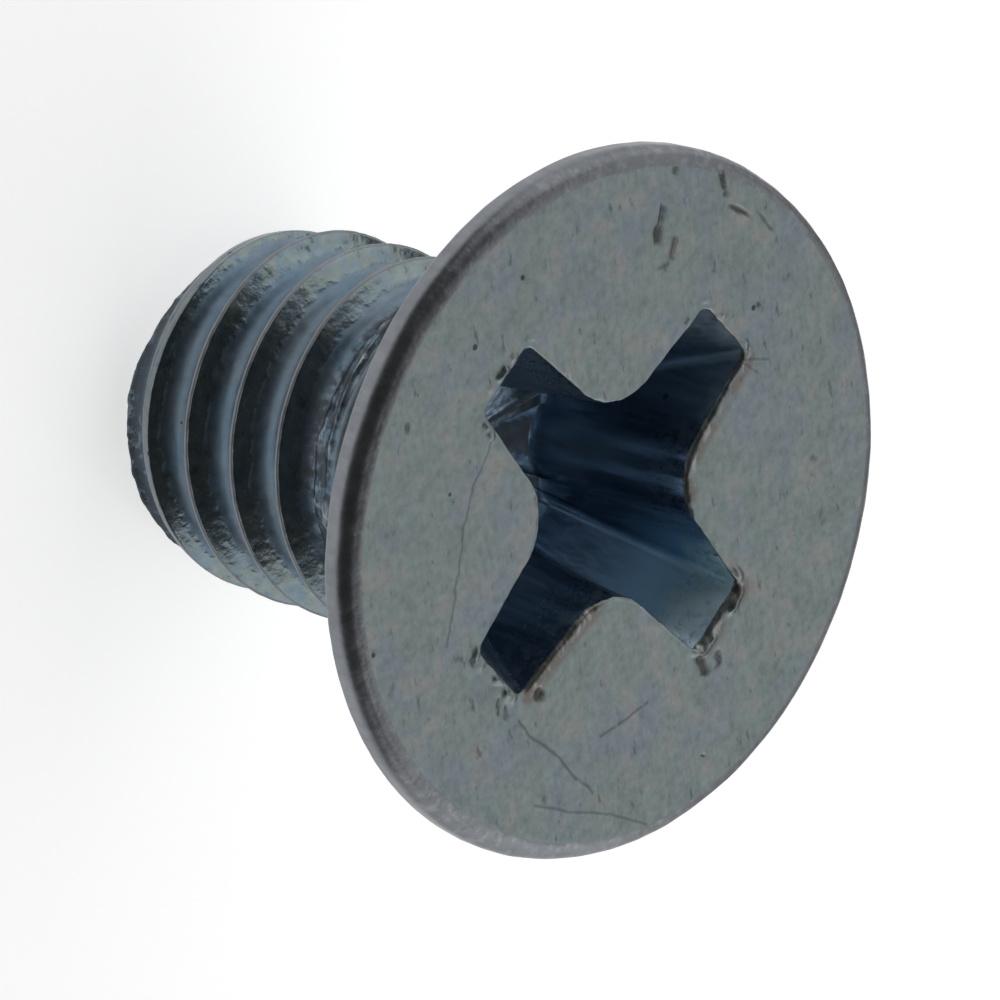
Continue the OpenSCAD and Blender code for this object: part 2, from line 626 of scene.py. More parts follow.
    def _mouth_distance(self, points: np.ndarray) -> np.ndarray:
        """Distance of each point near the face from the mouth of the recess, seen from above.

        Args:
            points: All points of the loft, in millimetres.

        Returns:
            One distance for each point, in millimetres, and a large one for the points away from the mouth.
        """
        mouth = self.recess.wall_at(0.0)
        distance = np.full(len(points), 9.0)
        near = (points[:, 2] > -0.3) & (np.hypot(points[:, 0], points[:, 1]) < self.recess.mouth_r + 0.6)
        top = np.nonzero(near)[0]
        for block in np.array_split(top, max(1, len(top) // 2000)):
            apart = points[block, None, :2] - mouth[None, :, :]
            distance[block] = np.sqrt((apart ** 2).sum(axis=2)).min(axis=1)
        return distance


# Where the end was sheared askew: the side's angle in degrees, and the millimetres missing there.
CUT_BACK = ((238.0, 0.15), (338.0, 0.03))


@dataclass
class RolledThread:
    """The rolled thread, a skin over the shank's core. Lengths are in millimetres, weld in metres."""

    crest_r: float = 2.0
    pitch: float = 0.7
    root_r: float = 1.5706
    first_depth: float = 2.15
    last_depth: float = 5.86
    end_depth: float = 5.9
    end_r: float = 1.45
    inner_r: float = 1.38
    crest_at_x: float = 2.9
    neck_r: float = 1.757
    lead_start: float = 4.78
    lead_drop: float = 0.27
    centre: tuple[float, float] = (0.018, 0.013)
    crest_share: float = 1 / 40
    flank_angle: float = math.radians(30)
    crest_wear: float = 0.012
    chip_depth: float = 0.030
    run_out_depth: float = 2.42
    run_out_slope: float = 0.7
    tear_depth: float = 0.046
    shear_depth: float = 0.022
    closing_length: float = 0.12
    root_lift: float = 0.115
    root_bow: float = 2.3
    weld: float = 1e-7
    steps: int = 240
    across: int = 44

    def build(self, finish: bpy.types.Material) -> bpy.types.Object:
        """Makes the thread as a strip that winds round the shank, and closes it inside.

        Args:
            finish: The material of the thread.

        Returns:
            The thread as a plain mesh.
        """
        tree = bpy.data.node_groups.new("rolled_thread", "GeometryNodeTree")
        tree.interface.new_socket("Geometry", in_out="OUTPUT", socket_type="NodeSocketGeometry")
        sizes = {
            "Crest radius": self.crest_r, "Pitch": self.pitch, "Root radius": self.root_r,
            "First depth": self.first_depth, "Last depth": self.last_depth, "End depth": self.end_depth,
            "End radius": self.end_r, "Inner radius": self.inner_r, "Neck radius": self.neck_r,
            "Lead start": self.lead_start, "Lead drop": self.lead_drop,
        }
        for name, value in sizes.items():
            socket = tree.interface.new_socket(name, in_out="INPUT", socket_type="NodeSocketFloat")
            socket.default_value = value
        bench = NodeBench(tree)
        given = bench.node("NodeGroupInput")
        size = {name: Signal(bench, given.outputs[name]) for name in sizes}
        joined = bench.node("GeometryNodeJoinGeometry")
        for part in (self._skin(bench, size), self._lining(bench, size)):
            tree.links.new(part, joined.inputs[0])
        doubled = {"Geometry": joined.outputs[0], "Distance": self.weld}
        merged = bench.node("GeometryNodeMergeByDistance", doubled)
        smooth = bench.node("GeometryNodeSetShadeSmooth", {"Geometry": merged.outputs[0]})
        real = bench.node("GeometryNodeRealizeInstances", {"Geometry": smooth.outputs[0]})
        dressed = bench.node("GeometryNodeSetMaterial", {"Geometry": real.outputs[0], "Material": finish})
        done = bench.node("NodeGroupOutput")
        tree.links.new(dressed.outputs[0], done.inputs[0])
        return made_by_nodes("rolled_thread", tree)

    @staticmethod
    def _grid(bench: NodeBench, columns: int, rows: int) -> tuple[bpy.types.NodeSocket, Signal, Signal]:
        """A flat unit grid of so many faces, and the two places on it, each from 0 to 1.

        Args:
            bench: The tree's bench.
            columns: Faces along the first side.
            rows: Faces along the second side.

        Returns:
            The grid's geometry socket and the two places.
        """
        grid = bench.node("GeometryNodeMeshGrid", {
            "Size X": 1.0, "Size Y": 1.0, "Vertices X": columns + 1, "Vertices Y": rows + 1,
        })
        place = bench.node("GeometryNodeInputPosition")
        split = bench.node("ShaderNodeSeparateXYZ", {"Vector": place.outputs[0]})
        along, over = (Signal(bench, split.outputs[k]) + 0.5 for k in range(2))
        return grid.outputs["Mesh"], along, over

    def _spot(self, bench: NodeBench, radius: Signal, angle: Signal, depth: Signal) -> Signal:
        """A point from a radius and a depth in millimetres and an angle in radians."""
        return bench.read("ShaderNodeCombineXYZ", 0, {
            "X": (radius * angle.cosine() + self.centre[0]) * MM,
            "Y": (radius * angle.sine() + self.centre[1]) * MM,
            "Z": depth * -MM,
        })

    @staticmethod
    def _grain(bench: NodeBench, spot: Signal, scale: float, seed: float, detail: float = 2.0) -> Signal:
        """Smooth noise over the surface, about -1 to 1.

        Args:
            bench: The tree's bench.
            spot: Where the noise is read, in metres.
            scale: Waves in a millimetre.
            seed: Picks the pattern.
            detail: How many finer layers are added.

        Returns:
            The noise.
        """
        value = bench.read(
            "ShaderNodeTexNoise", 0, {"Vector": spot, "W": seed, "Scale": scale / MM, "Detail": detail},
            noise_dimensions="4D",
        )
        return (value - 0.5) * 3.0

    def _ridge(self, size: dict[str, Signal], phase: Signal, crest: Signal) -> Signal:
        """Radius of the perfect thread at a place: 60 degree flanks, a flat crest and a round root.

        Args:
            size: The tree's sizes by name.
            phase: How far from the middle of the crest, as a share of the pitch.
            crest: Radius of the crest.

        Returns:
            The radius in millimetres.
        """
        offset = abs(phase) * size["Pitch"]
        flank = crest - (offset - size["Pitch"] * self.crest_share) * (1 / math.tan(self.flank_angle))
        from_root = size["Pitch"] * 0.5 - offset
        hollow = size["Root radius"] + self.root_lift + self.root_bow * from_root * from_root
        return flank.soft_at_most(crest, 0.015).soft_at_least(hollow, 0.05)

    @staticmethod
    def _cut(angle: Signal) -> Signal:
        """How much shorter the shank is at an angle, because its end was sheared askew.

        Args:
            angle: Angle round the axis, in radians.

        Returns:
            The missing length in millimetres.
        """
        cut = 0.0
        for side, amount in CUT_BACK:
            cut = cut + amount * (angle - math.radians(side)).cosine().rise(0.35, 1.0)
        return cut

    @staticmethod
    def _envelope(size: dict[str, Signal], depth: Signal) -> Signal:
        """Largest radius at a depth: the tapered lead, then the chamfer.

        Args:
            size: The tree's sizes by name.
            depth: Depth below the head face.

        Returns:
            The radius in millimetres.
        """
        share = (depth - size["Lead start"]) / (size["End depth"] - size["Lead start"])
        lead = size["Crest radius"] - size["Lead drop"] * share.at_least(0.0)
        chamfer = size["End radius"] + (size["End depth"] - depth)
        return lead.soft_at_most(chamfer, 0.05)

    def _skin(self, bench: NodeBench, size: dict[str, Signal]) -> bpy.types.NodeSocket:
        """The outer skin: a strip one pitch wide, wound round the axis.

        Args:
            bench: The tree's bench.
            size: The tree's sizes by name.

        Returns:
            The skin's geometry socket.
        """
        turns = math.ceil((self.end_depth - self.first_depth) / self.pitch) + 3
        skin, along, over = self._grid(bench, turns * self.steps, self.across)
        turn = along * turns
        phase = over - 0.5
        first_turn = math.floor((self.first_depth - self.crest_at_x) / self.pitch) - 1
        depth = self.crest_at_x + size["Pitch"] * (turn + phase + first_turn)
        angle = turn * (-2 * math.pi)
        cut = self._cut(angle)
        last_depth = size["Last depth"] - cut
        raw = self._spot(bench, size["Crest radius"], angle, depth)
        wave = self._grain(bench, raw, 0.55, 4.0)
        chip = self._grain(bench, raw, 4.5, 1.0).rise(0.55, 0.95)
        fray = self._grain(bench, raw, 8.0, 6.0)
        crest = size["Crest radius"] - self.crest_wear
        crest = crest + 0.010 * wave + 0.006 * fray - self.chip_depth * chip
        ridge = self._ridge(size, phase, crest)
        rising = size["Neck radius"] + self.run_out_slope * (depth - self.run_out_depth)
        ridge = ridge.soft_at_most(rising, 0.05)
        tear = 0.6 * self._grain(bench, raw, 2.2, 7.0) + 0.9 * self._grain(bench, raw, 7.0, 9.0, 3.0)
        run_out = depth.rise(2.36, 2.46) * depth.rise(2.84, 2.70)
        neck = size["Neck radius"] - 0.5 * (depth + 0.05 * wave).rise(2.60, 3.0)
        neck = neck + self.tear_depth * tear * run_out
        body = ridge.soft_at_least(neck, 0.03)
        ragged = self._grain(bench, raw, 3.0, 2.0) * depth.rise(5.0, 5.6)
        sheared = self._grain(bench, raw, 5.0, 3.0) * depth.rise(5.35, 5.6) * depth.rise(5.9, 5.84)
        radius = body.soft_at_most(self._envelope(size, depth + cut + 0.03 * ragged), 0.03)
        radius = radius + 0.004 * self._grain(bench, raw, 7.0, 5.0) * depth.rise(2.2, 2.3)
        radius = radius + self.shear_depth * sheared
        past_end = (depth - last_depth) / self.closing_length
        before_start = (size["First depth"] - depth) / self.closing_length
        closing = past_end.at_least(before_start).at_least(0.0).at_most(1.0)
        radius = radius.at_least(size["Inner radius"]) * (1.0 - closing) + size["Inner radius"] * closing
        depth = depth.at_least(size["First depth"]).at_most(last_depth)
        height = (body - size["Root radius"]) / (crest - size["Root radius"])
        for name, value in (("ridge_height", height), ("torn", run_out * tear.rise(0.1, 0.8))):
            skin = bench.node(
                "GeometryNodeStoreNamedAttribute", {"Geometry": skin, "Name": name, "Value": value},
                data_type="FLOAT", domain="POINT",
            ).outputs[0]
        spot = self._spot(bench, radius, angle, depth)
        moved = bench.node("GeometryNodeSetPosition", {"Geometry": skin, "Position": spot})
        return moved.outputs[0]

    def _lining(self, bench: NodeBench, size: dict[str, Signal]) -> bpy.types.NodeSocket:
        """The inner wall that closes the skin against the core of the shank.

        Args:
            bench: The tree's bench.
            size: The tree's sizes by name.

        Returns:
            The wall's geometry socket.
        """
        wall, along, over = self._grid(bench, self.steps, 1)
        angle = along * (-2 * math.pi)
        depth = (size["Last depth"] - self._cut(angle)) * (1.0 - over) + size["First depth"] * over
        spot = self._spot(bench, size["Inner radius"], angle, depth)
        moved = bench.node("GeometryNodeSetPosition", {"Geometry": wall, "Position": spot})
        return moved.outputs[0]


@dataclass
class ShankCore:
    """The core that the thread is rolled on, with its sheared end. Lengths are in millimetres."""

    body_r: float = 1.375
    first_depth: float = 2.7
    body_end: float = 5.83
    end_depth: float = 5.9
    end_r: float = 1.45
    centre: tuple[float, float] = (0.018, 0.013)
    end_profile: tuple[tuple[float, float], ...] = (
        (-0.055, 0.044), (0.035, 0.040), (0.012, 0.016), (-0.010, 0.003),
    )
    dish_depth: float = 0.05
    dish_edge: float = 0.35
    step_height: float = 0.03
    tear_noise: Layers = ((0.012, 5.0, 2.0),)
    count: int = 200

    def build(self, finish: bpy.types.Material) -> bpy.types.Object:
        """Lofts the core from inside the head to its end face.

        Args:
            finish: The material of the core.

        Returns:
            The core.
        """
        loft = RingLoft(self.count)
        angle = np.linspace(0.0, 2 * math.pi, self.count, endpoint=False)
        profile = [(share * self.body_r, self.first_depth) for share in (0.3, 0.6, 0.9, 1.0)]
        profile += [(self.body_r, depth) for depth in np.linspace(self.first_depth, self.body_end, 8)[1:]]
        profile += [(self.end_r + out, self.end_depth - above) for out, above in self.end_profile]
        profile += [(share * self.end_r, self.end_depth) for share in np.linspace(0.97, 0.02, 30)]
        for radius, depth in profile:
            loft.add(circle(radius, angle), depth)
        piece = loft.build("shank_core", self._sheared)
        piece.data.materials.append(finish)
        return piece

    def _sheared(self, points: np.ndarray) -> np.ndarray:
        """Dishes the end face and gives it the steps of a sheared wire.

        Args:
            points: All points of the loft, in millimetres.

        Returns:
            The moved points.
        """
        x, y, z = points.T
        radius = np.hypot(x, y)
        on_end = (z < -self.body_end - 0.03) * soft_step(self.end_r - radius, 0.0, self.dish_edge)
        steps = 0.5 + 0.5 * np.sin(5.2 * (x + 0.35 * y) + 2.2 * ripple(points, 0.9, 3.0))
        dish = self.dish_depth * (1 - (radius / self.end_r) ** 2) + self.step_height * steps
        dish += ripples(points, self.tear_noise)
        moved = points.copy()
        moved[:, 2] += np.maximum(dish, 0.0) * on_end
        angle = np.arctan2(y, x)
        for side, amount in CUT_BACK:
            cut = amount * soft_step(np.cos(angle - math.radians(side)), 0.35, 1.0)
            moved[:, 2] += cut * soft_step(-z, 5.0, 5.8) * (radius / self.end_r) ** 2
        moved[:, :2] += np.array(self.centre)
        return moved


def made_by_nodes(name: str, tree: bpy.types.NodeTree) -> bpy.types.Object:
    """Runs a geometry node tree once and keeps its result as a plain mesh.

    Args:
        name: Name of the piece.
        tree: The tree, whose inputs hold the sizes.

    Returns:
        The new object, without a modifier.
    """
    carrier = placed(name + "_maker", bpy.data.meshes.new(name + "_maker"))
    modifier = carrier.modifiers.new("maker", "NODES")
    modifier.node_group = tree
    for item in tree.interface.items_tree:
        if item.in_out == "INPUT":
            modifier[item.identifier] = item.default_value
    evaluated = carrier.evaluated_get(bpy.context.evaluated_depsgraph_get())
    mesh = bpy.data.meshes.new_from_object(evaluated)
    mesh.name = name
    carrier.modifiers.remove(modifier)
    bpy.data.objects.remove(carrier)
    return placed(name, mesh)


@dataclass
class PortraitCamera:
    """The camera that looks at the head from beside it."""

    azimuth: float = 22.634
    elevation: float = 44.083
    roll: float = 107.277
    distance: float = 112.5
    lens: float = 395.26
    aim: tuple[float, float, float] = (0.574, -0.623, -0.822)

    def build(self) -> None:
        """Makes the camera and makes it the scene's own."""
        data = bpy.data.cameras.new("portrait")
        data.lens = self.lens
        data.clip_start = 0.001
        data.clip_end = 10.0
        camera = placed("portrait", data)
        back = towards(self.azimuth, self.elevation)
        camera.location = Vector(self.aim) * MM + back * self.distance * MM
        camera.rotation_mode = "QUATERNION"
        level = (-back).to_track_quat("-Z", "Y")
        camera.rotation_quaternion = level @ Quaternion((0, 0, 1), math.radians(self.roll))
        bpy.context.scene.camera = camera


@dataclass(frozen=True)
class SoftBox:
    """A large soft lamp that faces the screw. Lengths are in metres."""

    name: str
    azimuth: float
    elevation: float
    width: float
    height: float
    radiance: float
    distance: float = 0.12
    tint: tuple[float, float, float] = (1.0, 1.0, 1.0)

    def build(self) -> None:
        """Makes the lamp and aims it."""
        data = bpy.data.lights.new(self.name, "AREA")
        data.shape = "RECTANGLE"
        data.size = self.width
        data.size_y = self.height
        data.energy = self.radiance * math.pi * self.width * self.height
        data.color = self.tint
        lamp = placed(self.name, data)
        away = towards(self.azimuth, self.elevation)
        aimed = away.to_track_quat("Z", "Y").to_matrix().to_4x4()
        lamp.matrix_world = Matrix.Translation(away * self.distance) @ aimed
        lamp.visible_camera = False


@dataclass
class Studio:
    """A pale floor that rises at its rim, and soft lamps around the screw. Lengths are in metres."""

    floor_z: float = -0.0059
    flat_r: float = 0.16
    rim_r: float = 0.42
    rim_rise: float = 0.05
    glow: float = 0.64
    albedo: float = 0.8
    room: float = 0.06
    around: int = 96
    rim_rings: int = 14
    lamps: tuple[SoftBox, ...] = (
        SoftBox("side_lamp", -82.0, 27.0, 0.15, 0.10, 1.25),
        SoftBox("far_side_lamp", 152.0, 24.0, 0.13, 0.09, 1.25),
        SoftBox("far_lamp", -158.0, 45.0, 0.13, 0.11, 0.95),
    )

    def build(self) -> None:
        """Makes the floor, the lamps and the dim room round them."""
        self._floor()
        for lamp in self.lamps:
            lamp.build()
        world = bpy.data.worlds.new("studio")
        world.use_nodes = True
        world.node_tree.nodes["Background"].inputs["Color"].default_value = (self.room,) * 3 + (1.0,)
        bpy.context.scene.world = world
        bpy.context.scene.view_settings.view_transform = "Standard"

    def _floor(self) -> None:
        """Turns a profile round the axis into a floor with a raised rim."""
        count = self.around
        profile = [(self.flat_r * share, 0.0) for share in (0.02, 0.1, 0.3, 0.6, 1.0)]
        for share in np.linspace(0.0, 1.0, self.rim_rings)[1:]:
            profile.append((self.flat_r + (self.rim_r - self.flat_r) * share, self.rim_rise * share ** 3))
        angle = np.linspace(0.0, 2 * math.pi, count, endpoint=False)
        points = [(0.0, 0.0, self.floor_z)]
        for radius, rise in profile:
            points += [(radius * math.cos(a), radius * math.sin(a), self.floor_z + rise) for a in angle]
        faces = [(0, 1 + k, 1 + (k + 1) % count) for k in range(count)]
        faces += bands(len(profile), count, first=1)
        mesh = bpy.data.meshes.new("studio_floor")
        mesh.from_pydata(points, [], faces)
        mesh.polygons.foreach_set("use_smooth", [True] * len(faces))
        floor = placed("studio_floor", mesh)
        floor.data.materials.append(self._paper())

    def _paper(self) -> bpy.types.Material:
        """Pale paper that is lit a little from within, as a light table is."""
        material = bpy.data.materials.new("light_table_paper")
        material.use_nodes = True
        shader = material.node_tree.nodes["Principled BSDF"]
        shader.inputs["Base Color"].default_value = (self.albedo,) * 3 + (1.0,)
        shader.inputs["Roughness"].default_value = 1.0
        shader.inputs["Specular IOR Level"].default_value = 0.0
        shader.inputs["Emission Color"].default_value = (1.0, 1.0, 1.0, 1.0)
        shader.inputs["Emission Strength"].default_value = self.glow
        return material


class Colour(Enum):
    """The plating's colours, and the colours of painted highlight and painted shade, as linear red, green
    and blue.
    """

    GREEN_GREY = (0.172, 0.208, 0.205)
    BLUE_GREY = (0.168, 0.200, 0.228)
    WARM_GREY = (0.202, 0.198, 0.194)
    RIM_GREY = (0.210, 0.224, 0.242)
    DEEP_BLUE = (0.290, 0.375, 0.470)
    DRAWN_BLUE = (0.255, 0.345, 0.430)
    STEEL_BLUE = (0.125, 0.182, 0.235)
    PALE_ZINC = (0.440, 0.470, 0.470)
    # Dark colour for pits, nicks, scratches and mottled patches, and for painted shade on the head's worn
    # edge and where the thread starts under the neck.
    GRIME_AND_SHADE = (0.040, 0.033, 0.030)
    BROWN = (0.110, 0.085, 0.075)
    BRASSY = (0.360, 0.325, 0.300)
    # Painted highlight on the +Y wing's wall of the recess, near the mouth.
    PAINTED_HIGHLIGHT_ZINC = (0.640, 0.810, 0.870)
    # Painted highlight: the brighter blue on the upper wall of the recess's +Y wing.
    BRIGHT_BLUE = (0.400, 0.600, 0.760)

    @property
    def rgba(self) -> tuple[float, float, float, float]:
        """The colour with a full alpha."""
        return (*self.value, 1.0)


# How far one step of the seed moves a pattern along X, Y and Z, and how strong its finer layers are.
SEED_STEPS = (17.3, -9.1, 4.7)
GRAIN_ROUGHNESS = 0.62


class Surface:
    """A material in the making: patterns in millimetres, layers of colour, one relief and one roughness."""

    def __init__(self, name: str) -> None:
        """Starts a material.

        Args:
            name: Name of the material.
        """
        self.material = bpy.data.materials.new(name)
        self.material.use_nodes = True
        self.bench = NodeBench(self.material.node_tree)
        self.shader = self.material.node_tree.nodes["Principled BSDF"]
        place = self.bench.node("ShaderNodeTexCoord")
        scaled = self.bench.node("ShaderNodeMapping", {"Vector": place.outputs["Object"]})
        scaled.inputs["Scale"].default_value = (1 / MM,) * 3
        self.place = Signal(self.bench, scaled.outputs[0])
        split = self.bench.node("ShaderNodeSeparateXYZ", {"Vector": self.place})
        self.x, self.y, self.z = (Signal(self.bench, split.outputs[k]) for k in range(3))

    def stored(self, name: str) -> Signal:
        """A number that the mesh stores at its points."""
        return self.bench.read("ShaderNodeAttribute", "Fac", attribute_name=name)

    def stretched(self, scale: tuple[float, float, float], turn: float = 0.0) -> Signal:
        """The place in millimetres, turned about Z and then scaled along each axis.

        Args:
            scale: Scale along X, Y and Z after the turn.
            turn: Angle in degrees.

        Returns:
            The new place.
        """
        turned = self.bench.node("ShaderNodeMapping", {"Vector": self.place})
        turned.inputs["Rotation"].default_value = (0.0, 0.0, math.radians(turn))
        scaled = self.bench.node("ShaderNodeMapping", {"Vector": turned.outputs[0]})
        scaled.inputs["Scale"].default_value = scale
        return Signal(self.bench, scaled.outputs[0])

    def grain(self, scale: float, seed: float, detail: float = 2.0, at: Signal | None = None) -> Signal:
        """Noise from 0 to 1.

        Args:
            scale: Waves in a millimetre.
            seed: Picks the pattern.
            detail: How many finer layers are added.
            at: Where the noise is read, if not at the place itself.

        Returns:
            The noise.
        """
        shift = tuple(step * seed for step in SEED_STEPS)
        moved = self.bench.read("ShaderNodeVectorMath", 0, {0: at or self.place, 1: shift}, operation="ADD")
        return self.bench.read("ShaderNodeTexNoise", 0, {
            "Vector": moved, "Scale": scale, "Detail": detail, "Roughness": GRAIN_ROUGHNESS,
        })

    def pits(self, scale: float, size: float, share: float) -> Signal:
        """Round pits scattered over the surface.

        Args:
            scale: Cells in a millimetre, each of which may hold a pit.
            size: Largest radius of a pit, as a share of its cell.
            share: The part of the cells that hold one.

        Returns:
            A mask that is 1 in the pits.
        """
        cell = self.bench.node("ShaderNodeTexVoronoi", {"Vector": self.place, "Scale": scale}, feature="F1")
        distance = Signal(self.bench, cell.outputs["Distance"])
        pick = self.bench.read("ShaderNodeSeparateColor", 0, {"Color": cell.outputs["Color"]})
        radius = (pick - (1.0 - share)).at_least(0.0) * (size / share)
        return (distance - radius).rise(0.02, -0.02) * pick.rise(1.0 - share, 1.01 - share)

    def strokes(self, lines: tuple, width: float, at: tuple[Signal, Signal]) -> Signal:
        """Marks along lines on the head face.

        Args:
            lines: The lines, each with its corners in millimetres.
            width: Half the width of the marks in millimetres.
            at: The two places that are compared with the lines.

        Returns:
            A mask that is 1 along the lines.
        """
        nearest = None
        for line in lines:
            for start, end in zip(line, line[1:]):
                along = (end[0] - start[0], end[1] - start[1])
                length = math.hypot(*along)
                ux, uy = along[0] / length, along[1] / length
                dx, dy = at[0] - start[0], at[1] - start[1]
                past = abs(dx * ux + dy * uy - 0.5 * length) - 0.5 * length
                distance = abs(dy * ux - dx * uy).at_least(past)
                nearest = distance if nearest is None else nearest.at_most(distance)
        return nearest.rise(width, 0.1 * width)

    def tint(self, under: "Signal | Colour", over: "Signal | Colour", share: Signal | float) -> Signal:
        """Lays one colour over another by a share.

        Args:
            under: The lower colour.
            over: The upper colour.
            share: How much of the upper one shows.

        Returns:
            The mixed colour.
        """
        made = self.bench.node("ShaderNodeMix", data_type="RGBA")
        sockets = [k for k in made.inputs if k.type == "RGBA"]
        for socket, colour in zip(sockets, (under, over)):
            self.bench.feed(socket, colour.rgba if isinstance(colour, Colour) else colour)
        self.bench.feed(made.inputs[0], share)
        return Signal(self.bench, next(k for k in made.outputs if k.type == "RGBA"))

    def shade(self, colour: Signal, amount: Signal) -> Signal:
        """Makes a colour darker or lighter by a factor."""
        return self.bench.read("ShaderNodeVectorMath", 0, {0: colour, "Scale": amount}, operation="SCALE")

    def finish(self, colour: Signal, roughness: Signal, relief: Signal) -> bpy.types.Material:
        """Ends the material.

        Args:
            colour: Its colour.
            roughness: Its roughness.
            relief: Its fine relief, in millimetres.

        Returns:
            The finished material.
        """
        bump = self.bench.node("ShaderNodeBump", {"Distance": MM, "Height": relief, "Strength": 1.0})
        self.bench.feed(self.shader.inputs["Base Color"], colour)
        self.bench.feed(self.shader.inputs["Roughness"], roughness.at_least(0.08).at_most(0.9))
        self.bench.feed(self.shader.inputs["Normal"], Signal(self.bench, bump.outputs[0]))
        self.shader.inputs["Metallic"].default_value = 1.0
        return self.material


@dataclass(frozen=True)
class FaceZinc:
    """Satin zinc on the head face: mottled, brushed one way, with pits, nicks and scratches."""

    brush_turn: float = 33.0
    roughness: float = 0.36
    scratches: tuple = (
        ((2.38, 0.52), (2.32, 1.34), (2.31, 1.98)),
        ((1.80, 1.66), (1.56, 1.78), (1.18, 1.95)),
    )
    hairlines: tuple = (
        ((1.50, -1.54), (1.84, -1.30), (2.16, -1.04), (2.40, -0.90)),
        ((0.32, -2.02), (1.14, -1.76), (1.50, -1.54)),
        ((2.86, 1.40), (2.63, 1.87), (2.32, 2.37), (2.08, 2.92)),
        ((-2.12, 0.36), (-2.23, 0.49), (-2.37, 0.68)), ((-2.12, 0.36), (-2.15, 0.53), (-2.18, 0.66)),
        ((-0.42, 2.08), (-0.36, 2.22), (-0.25, 2.34)),
    )

    def build(self) -> bpy.types.Material:
        """Makes the material."""
        s = Surface("face_zinc")
        wobble = 0.12 * (s.grain(2.6, 1.0) - 0.5)
        at = (s.x + wobble, s.y - wobble)
        fleck = s.grain(1.0, 3.0, 3.0, s.stretched((9.0, 3.6, 6.0), self.brush_turn))
        scratch = s.strokes(self.scratches, 0.030, at) * fleck.rise(0.30, 0.46)
        hair = s.strokes(self.hairlines, 0.026, at) * fleck.rise(0.28, 0.42)
        streak = s.grain(1.0, 4.0, 1.0, s.stretched((20.0, 1.6, 1.0), self.brush_turn))
        cloud = s.grain(1.2, 5.0, 2.0)
        patch = s.grain(2.3, 6.0, 2.0)
        mottle = s.grain(9.0, 7.0, 2.0)
        pit = s.pits(2.3, 0.085, 0.25)
        crushed = s.stored("crushed")
        dented = s.stored("dented").at_most(1.0)

        colour = s.tint(Colour.GREEN_GREY, Colour.BLUE_GREY, 0.65 * cloud.rise(0.46, 0.62))
        colour = s.tint(colour, Colour.WARM_GREY, 0.6 * patch.rise(0.52, 0.66))
        light = 1.0 + 0.85 * (mottle - 0.5) + 0.32 * (streak - 0.5) + 0.40 * (patch - 0.5)
        light = light * (1.0 - 0.42 * fleck.rise(0.61, 0.74))
        colour = s.shade(colour, light)
        crush = crushed.rise(0.25, 0.70) * mottle.rise(0.30, 0.52) * patch.rise(0.36, 0.54)
        colour = s.tint(colour, Colour.BROWN, 0.62 * crush)
        colour = s.tint(colour, Colour.PALE_ZINC, 0.35 * crushed.rise(0.55, 1.0) * fleck.rise(0.50, 0.40))
        darkened = (0.72 * dented).at_least(0.42 * scratch).at_least(0.34 * hair).at_least(0.8 * pit)
        colour = s.tint(colour, Colour.GRIME_AND_SHADE, darkened)
        roughness = self.roughness + 0.26 * (mottle - 0.5) + 0.14 * (streak - 0.5) + 0.2 * darkened
        relief = 0.0026 * mottle + 0.0016 * streak
        return s.finish(colour, roughness, relief)


@dataclass(frozen=True)
class RimZinc:
    """Warmer zinc on the edge, rim and cone, ribbed where the die gripped the blank, with painted shade on
    the worn edge.
    """

    roughness: float = 0.38

    def build(self) -> bpy.types.Material:
        """Makes the material."""
        s = Surface("rim_zinc")
        ribs = s.grain(1.0, 1.0, 2.0, s.stretched((6.5, 6.5, 0.8)))
        mottle = s.grain(8.0, 2.0, 3.0)
        cloud = s.grain(1.3, 3.0, 2.0)
        pit = s.pits(2.3, 0.075, 0.2)
        colour = s.tint(Colour.RIM_GREY, Colour.BLUE_GREY, s.z.rise(-0.35, -1.2) * cloud.rise(0.35, 0.6))
        colour = s.shade(colour, 1.0 + 0.6 * (mottle - 0.5) + 0.6 * (ribs - 0.5) + 0.3 * (cloud - 0.5))
        # Painted shade: mottled darkening of the worn edge's band. It is full from 0.10 mm below the face
        # up to the face and fades out by 0.17 mm. The pits are darkened too.
        painted_edge_shade = s.z.rise(-0.17, -0.10) * mottle.rise(0.34, 0.52)
        colour = s.tint(colour, Colour.GRIME_AND_SHADE, (0.30 * painted_edge_shade).at_least(0.8 * pit))
        roughness = self.roughness + 0.22 * (mottle - 0.5) + 0.1 * (ribs - 0.5)
        relief = 0.0060 * ribs + 0.0026 * mottle
        return s.finish(colour, roughness, relief)


